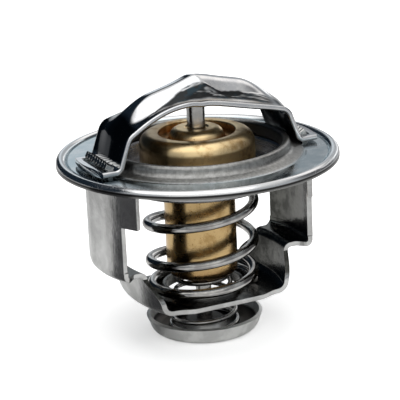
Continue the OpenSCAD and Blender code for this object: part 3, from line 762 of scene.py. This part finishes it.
def bridge_steel():
    """Polished sheet: painted dark reflections in marbled bands and on the legs, and stained margins."""
    look = Surface("bridge_steel", (0.8, 0.81, 0.82), 1, 0.1)
    along, across = look.absolute(look.x), look.absolute(look.y)
    worn = look.noise(0.5, detail=5, rough=0.65)
    drawn = look.noise(1.0, detail=3, rough=0.55, place=look.stretched(0.10, 0.9, 0.35), distort=0.5)
    crown = look.times(look.fall(along, *CROWN_X), look.above(CROWN_Z))
    place = look.plus(across, look.times(look.minus(look.noise(0.22, detail=3), 0.5), 1.4))
    shift = look.plus(look.ramp(look.x, *BAND_SHIFT_LEFT), look.ramp(look.x, *BAND_SHIFT_RIGHT))
    inner = look.ramp(look.minus(place, shift), *BAND_INNER_Y)
    band = look.times(inner, look.fall(place, *BAND_OUTER_Y), crown)
    clean = look.mix(look.ramp(worn, 0.35, 0.7), (0.74, 0.75, 0.77), (0.9, 0.9, 0.9))
    margin = look.times(look.ramp(across, *MARGIN_INNER_Y), look.fall(across, *MARGIN_OUTER_Y), crown)
    margin = look.times(margin, look.ramp(drawn, 0.4, 0.6, 0.9, 0.3))
    clean = look.mix(margin, clean, (0.34, 0.31, 0.27))
    # Painted dark reflection: the legs turn nearly black above their feet
    legs = look.times(look.ramp(along, *STRAP_LEG_X), look.fall(across, *STRAP_LEG_Y))
    clean = look.mix(look.times(legs, look.above(STRAP_LEG_Z)), clean, (0.045, 0.052, 0.06))
    tint = look.ramp(look.noise(0.5, detail=2), 0.5, 0.62)
    dark = look.mix(tint, (0.03, 0.032, 0.033), (0.03, 0.045, 0.055))
    # Painted dark reflection, marbled and tinted blue, in bands on the flanks of the pressed rib
    dark_reflection = look.times(band, look.ramp(drawn, 0.54, 0.66, 1, 0.3))
    # Painted shade on the faces that look down
    under = look.times(look.fall(look.facing_up(), -0.25, -0.05), 0.75)
    look.colour(look.mix(under, look.mix(dark_reflection, clean, dark), (0.10, 0.10, 0.10)))
    scratch = look.times(look.hairlines(1.8, 0.012, (0.1, 0.5, 0.3)), 0.2)
    look.roughness(look.plus(0.04, look.times(worn, 0.08), scratch))
    dents = look.times(look.noise(0.16, detail=1), 1.2)
    look.relief(look.plus(look.times(drawn, band, 4.0), dents), 0.025, edge=0.1)
    return look.material


def frame_steel():
    """Rolled sheet, light outside, with nearly black painted shade where it faces the axis or lies open
    to the top.
    """
    look = Surface("frame_steel", (0.66, 0.66, 0.65), 1, 0.32)
    rolled = look.noise(1.0, detail=3, place=look.stretched(3.2, 3.2, 0.22))
    stain_and_reflection = look.noise(0.28, detail=4, rough=0.6)
    light = look.mix(look.ramp(stain_and_reflection, 0.38, 0.66), (0.46, 0.46, 0.45), (0.61, 0.61, 0.60))
    # Painted shade, mottled, where the sheet faces the axis or lies open to the top
    dark = look.mix(look.ramp(stain_and_reflection, 0.40, 0.62), (0.05, 0.05, 0.045), (0.12, 0.12, 0.11))
    inward, upward = look.ramp(look.facing_in(), 0.3, 0.6), look.ramp(look.facing_up(), 0.35, 0.6)
    hollow = look.times(look.larger(inward, upward), look.below(FRAME_HOLLOW_Z))
    look.colour(look.mix(hollow, light, dark))
    scratch = look.times(look.hairlines(1.6, 0.012, (0.2, 0.7, 0.2)), -0.16)
    look.roughness(look.plus(0.13, look.times(rolled, 0.14), scratch))
    look.relief(look.plus(look.times(rolled, 0.8), look.times(stain_and_reflection, 5.0)), 0.02, edge=0.16)
    return look.material


def turned_steel(name, colour, roughness, hollow_r=None):
    """Brushed or turned steel with rings round the axis, and painted shade in a hollow within a zone of
    radii.
    """
    look = Surface(name, colour, 1, roughness)
    rings = look.noise(1.0, detail=3, place=look.round_the_axis(9, 1.6))
    stain_and_reflection = look.noise(0.35, detail=4)
    dark = tuple(0.8 * c for c in colour)
    shade = look.mix(look.ramp(stain_and_reflection, 0.4, 0.65), dark, colour)
    if hollow_r:
        # Painted shade, nearly black, where the hollow's faces look at the axis or up
        inward, upward = look.ramp(look.facing_in(), 0.1, 0.4), look.ramp(look.facing_up(), 0.4, 0.7)
        hollow = look.times(look.larger(inward, upward), look.inside(hollow_r))
        shade = look.mix(hollow, shade, (0.09, 0.085, 0.08))
    look.colour(shade)
    look.roughness(look.plus(roughness - 0.06, look.times(rings, 0.14)))
    look.relief(rings, 0.01, edge=0.14)
    return look.material


def spring_steel():
    """Drawn wire, bright and faintly stained."""
    look = Surface("spring_steel", (0.5, 0.49, 0.47), 1, 0.2)
    drawn = look.noise(1.0, detail=3, place=look.round_the_axis(8, 3.0))
    stain_and_reflection = look.noise(0.3, detail=3)
    look.colour(look.mix(look.ramp(stain_and_reflection, 0.38, 0.64), (0.34, 0.33, 0.32), (0.58, 0.57, 0.55)))
    look.roughness(look.plus(0.08, look.times(drawn, 0.1)))
    look.relief(look.plus(drawn, stain_and_reflection), 0.003, edge=0.06)
    return look.material


def brass():
    """Aged brass: reddish in the head's recess, darker on the body and its foot, painted dark reflection
    at left.
    """
    look = Surface("brass", (0.78, 0.56, 0.26), 1, 0.22)
    rings = look.noise(1.0, detail=3, place=look.round_the_axis(5, 1.8))
    patina = look.noise(0.3, detail=5, rough=0.62)
    body = look.below(HEAD_END_Z)
    clean = look.mix(rings, (0.86, 0.64, 0.33), (0.98, 0.78, 0.46))
    aged = look.mix(look.ramp(patina, 0.46, 0.72), clean, (0.46, 0.28, 0.11))
    recess = look.times(look.inside(RECESS_R), look.below(RECESS_TOP_Z), look.above(RECESS_FLOOR_Z))
    aged = look.mix(look.times(recess, 0.55), aged, (0.55, 0.22, 0.05))
    aged = look.mix(look.times(body, 0.65), aged, (0.42, 0.26, 0.09))
    foot = look.below(FOOT_STAIN_Z, look.plus(look.z, look.times(patina, 6.0)))
    aged = look.mix(look.times(foot, body, 0.5), aged, (0.25, 0.10, 0.03))
    # Painted dark reflection on the left side of the head and of the body, with ragged borders
    side = look.plus(look.dot(look.place, RIGHT_SIDE), look.times(patina, 1.2))
    head_reflection = look.times(look.fall(side, *HEAD_REFLECTION), look.above(HEAD_END_Z))
    body_reflection = look.times(look.ramp(side, *BODY_REFLECTION_START), look.fall(side, *BODY_REFLECTION_END), body)
    stain_and_reflection = look.times(look.larger(head_reflection, body_reflection), 0.62)
    aged = look.mix(stain_and_reflection, aged, (0.13, 0.08, 0.035))
    specks = look.ramp(look.noise(2.6, detail=2), 0.66, 0.74)
    look.colour(look.mix(look.times(specks, 0.6), aged, (0.28, 0.17, 0.07)))
    base = look.minus(0.25, look.times(body, 0.09))
    dull = look.times(look.ramp(patina, 0.45, 0.7), 0.14)
    look.roughness(look.plus(base, look.times(rings, 0.12), dull))
    look.relief(look.plus(rings, look.times(patina, 3.0)), 0.009, edge=0.18)
    return look.material


def plain_polymer(name, low, high, roughness, grain):
    """Rubber, wax or a moulded polymer: mottled, with a fine relief."""
    look = Surface(name, high, 0, roughness)
    mottle = look.noise(grain, detail=5)
    look.colour(look.mix(look.ramp(mottle, 0.35, 0.65), low, high))
    look.roughness(look.plus(roughness - 0.08, look.times(mottle, 0.16)))
    look.relief(mottle, 0.02)
    return look.material


def dress(piece, material):
    piece.data.materials.clear()
    piece.data.materials.append(material)


def stand_for(piece, node, body):
    """The piece takes the place of a CAD node."""
    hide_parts(node)
    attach(piece, body)
    return piece


# Studio
def facing(azimuth, elevation):
    """Direction from the object. Azimuth 0 is at the front, and 90 on the right."""
    a, e = math.radians(azimuth), math.radians(elevation)
    return Vector((math.sin(a) * math.cos(e), -math.cos(a) * math.cos(e), math.sin(e)))


def make_floor():
    """Pale floor that the element stands on. It goes down with the element."""
    bpy.ops.mesh.primitive_plane_add(size=FLOOR_SIDE)
    floor = bpy.context.object
    floor.name = "floor"
    look = Surface("floor", FLOOR_COLOUR, 0, 0.8, Specular_IOR_Level=0.1)
    sector_way = look.dot(look.place, facing(SECTOR_AZIMUTH, 0))
    sector = look.ramp(look.math("DIVIDE", sector_way, look.plus(look.radius, 1)), *SECTOR_COSINE)
    dark = look.larger(look.ramp(look.radius, *FLOOR_DARK), look.times(sector, SECTOR_DARK))
    mirrored = look.times(look.seen_by("Glossy"), dark)
    look.colour(look.mix(mirrored, FLOOR_COLOUR, (0.02, 0.02, 0.025)))
    glow = look.times(look.seen_by("Camera"), FLOOR_GLOW)
    look.tree.links.new(glow, look.shader.inputs["Emission Strength"])
    dress(floor, look.material)
    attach(floor, "element")


def make_world():
    """White behind the object; its reflections see a grey sky with light and dark panels."""
    world = bpy.data.worlds.new("studio")
    bpy.context.scene.world = world
    world.use_nodes = True
    world.node_tree.nodes.clear()
    tree = Nodes(world.node_tree)
    direction = tree.add("ShaderNodeTexCoord").outputs["Generated"]
    height = tree.add("ShaderNodeSeparateXYZ", {0: direction}).outputs["Z"]
    sky = tree.add("ShaderNodeValToRGB", {"Fac": height})
    while len(sky.color_ramp.elements) < len(SKY):
        sky.color_ramp.elements.new(0.5)
    for element, (place, colour) in zip(sky.color_ramp.elements, SKY):
        element.position = place
        element.color = (*colour, 1)
    colour = sky.outputs["Color"]
    for azimuth, elevation, turn, half_w, half_h, soft, shade in PANELS:
        ahead = facing(azimuth, elevation)
        right = Matrix.Rotation(math.radians(turn), 3, ahead) @ facing(azimuth + 90, 0)
        reach = tree.larger(tree.dot(direction, ahead), TINY)
        mask = 1.0
        for across, half in ((right, half_w), (ahead.cross(right), half_h)):
            place = tree.absolute(tree.math("DIVIDE", tree.dot(direction, across), reach))
            mask = tree.times(mask, tree.fall(place, half - soft, half + soft))
        colour = tree.mix(mask, colour, shade)
    lit = tree.add("ShaderNodeBackground", {"Color": colour}).outputs[0]
    seen = tree.add("ShaderNodeBackground", {"Color": (1, 1, 1, 1)}).outputs[0]
    either = tree.add("ShaderNodeMixShader", {0: tree.seen_by("Camera"), 1: lit, 2: seen})
    tree.add("ShaderNodeOutputWorld", {"Surface": either.outputs[0]})


def add_floor_light():
    """Soft panel of light above the floor, which no reflection sees."""
    light = bpy.data.lights.new("floor_light", "AREA")
    light.shape = "SQUARE"
    light.size = LIGHT_SIDE
    light.energy = LIGHT_POWER
    lamp = bpy.data.objects.new("floor_light", light)
    bpy.context.scene.collection.objects.link(lamp)
    back = facing(0, LIGHT_ELEVATION)
    lamp.location = Vector((0, 0, RIM_Z * MM)) + back * LIGHT_DISTANCE
    lamp.rotation_mode = "QUATERNION"
    lamp.rotation_quaternion = back.to_track_quat("Z", "Y")
    lamp.visible_camera = False
    lamp.visible_glossy = False


def make_camera():
    """Camera of the photograph, turned so that the rim's centre lies on its pixel."""
    data = bpy.data.cameras.new("camera")
    data.sensor_width = SENSOR
    data.lens = FOCAL_PIXELS / FRAME_SIDE * SENSOR
    data.clip_start, data.clip_end = CAMERA_CLIP
    camera = bpy.data.objects.new("camera", data)
    bpy.context.scene.collection.objects.link(camera)
    back = facing(CAMERA_AZIMUTH, CAMERA_ELEVATION)
    place = Vector((0, 0, RIM_Z * MM)) + back * CAMERA_DISTANCE * MM
    look = (-back).to_track_quat("-Z", "Y").to_matrix().to_4x4()
    roll = Matrix.Rotation(math.radians(-CAMERA_ROLL), 4, "Z")
    yaw = Matrix.Rotation(math.atan((RIM_PIXEL[0] - FRAME_SIDE / 2) / FOCAL_PIXELS), 4, "Y")
    pitch = Matrix.Rotation(math.atan((RIM_PIXEL[1] - FRAME_SIDE / 2) / FOCAL_PIXELS), 4, "X")
    camera.matrix_world = Matrix.Translation(place) @ look @ roll @ yaw @ pitch
    bpy.context.scene.camera = camera


make_camera()
make_floor()
make_world()
add_floor_light()
bpy.context.scene.view_settings.view_transform = "Standard"

# Pieces that stand for CAD nodes
main_spring = stand_for(
    wound_wire("main_spring_wire", MAIN_WIRE_D, MAIN_R, MAIN_SEATS, MAIN_TURNS, MAIN_START,
               MAIN_CLOSED, HEAD_DROP),
    "main_spring", "housing")
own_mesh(main_spring)
bypass_spring = stand_for(
    wound_wire("bypass_spring_wire", BYPASS_WIRE_D, BYPASS_R, BYPASS_SEATS, BYPASS_TURNS,
               BYPASS_START, BYPASS_CLOSED),
    "bypass_spring", "element")
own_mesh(bypass_spring)
bridge = stand_for(make_bridge(), "bridge", "housing")
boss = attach(make_piston_boss(), "housing")
case = stand_for(make_brass_case(), "wax_case", "element")
valve = stand_for(make_valve_disc(), "main_valve", "element")
folded = stand_for(make_frame_sheet(nodes["lower_frame"]), "lower_frame", "housing")

# Materials of the pieces
wire_steel = spring_steel()
sheet_steel = bridge_steel()
aged_brass = brass()
ground_steel = turned_steel("piston_steel", (0.62, 0.61, 0.59), 0.2)
looks = [
    (main_spring, wire_steel),
    (bypass_spring, wire_steel),
    (bridge, sheet_steel),
    (boss, sheet_steel),
    (case, aged_brass),
    (valve, turned_steel("valve_steel", (0.6, 0.6, 0.61), 0.24)),
    (folded, frame_steel()),
    (nodes["flange"], flange_steel()),
    (nodes["guide_bush"], aged_brass),
    (nodes["piston"], ground_steel),
    (nodes["bypass_stem"], ground_steel),
    (nodes["bypass_cup"], turned_steel("cup_steel", (0.95, 0.95, 0.93), 0.42, CUP_HOLLOW_R)),
    (nodes["rubber_boot"],
     plain_polymer("rubber", (0.03, 0.03, 0.033), (0.06, 0.06, 0.065), 0.62, 3)),
    (nodes["backup_ring"],
     plain_polymer("white_polymer", (0.82, 0.82, 0.8), (0.9, 0.9, 0.88), 0.45, 2)),
    (nodes["wax_charge"],
     plain_polymer("wax", (0.42, 0.26, 0.12), (0.66, 0.52, 0.30), 0.5, 5)),
]
for piece, material in looks:
    dress(piece, material)
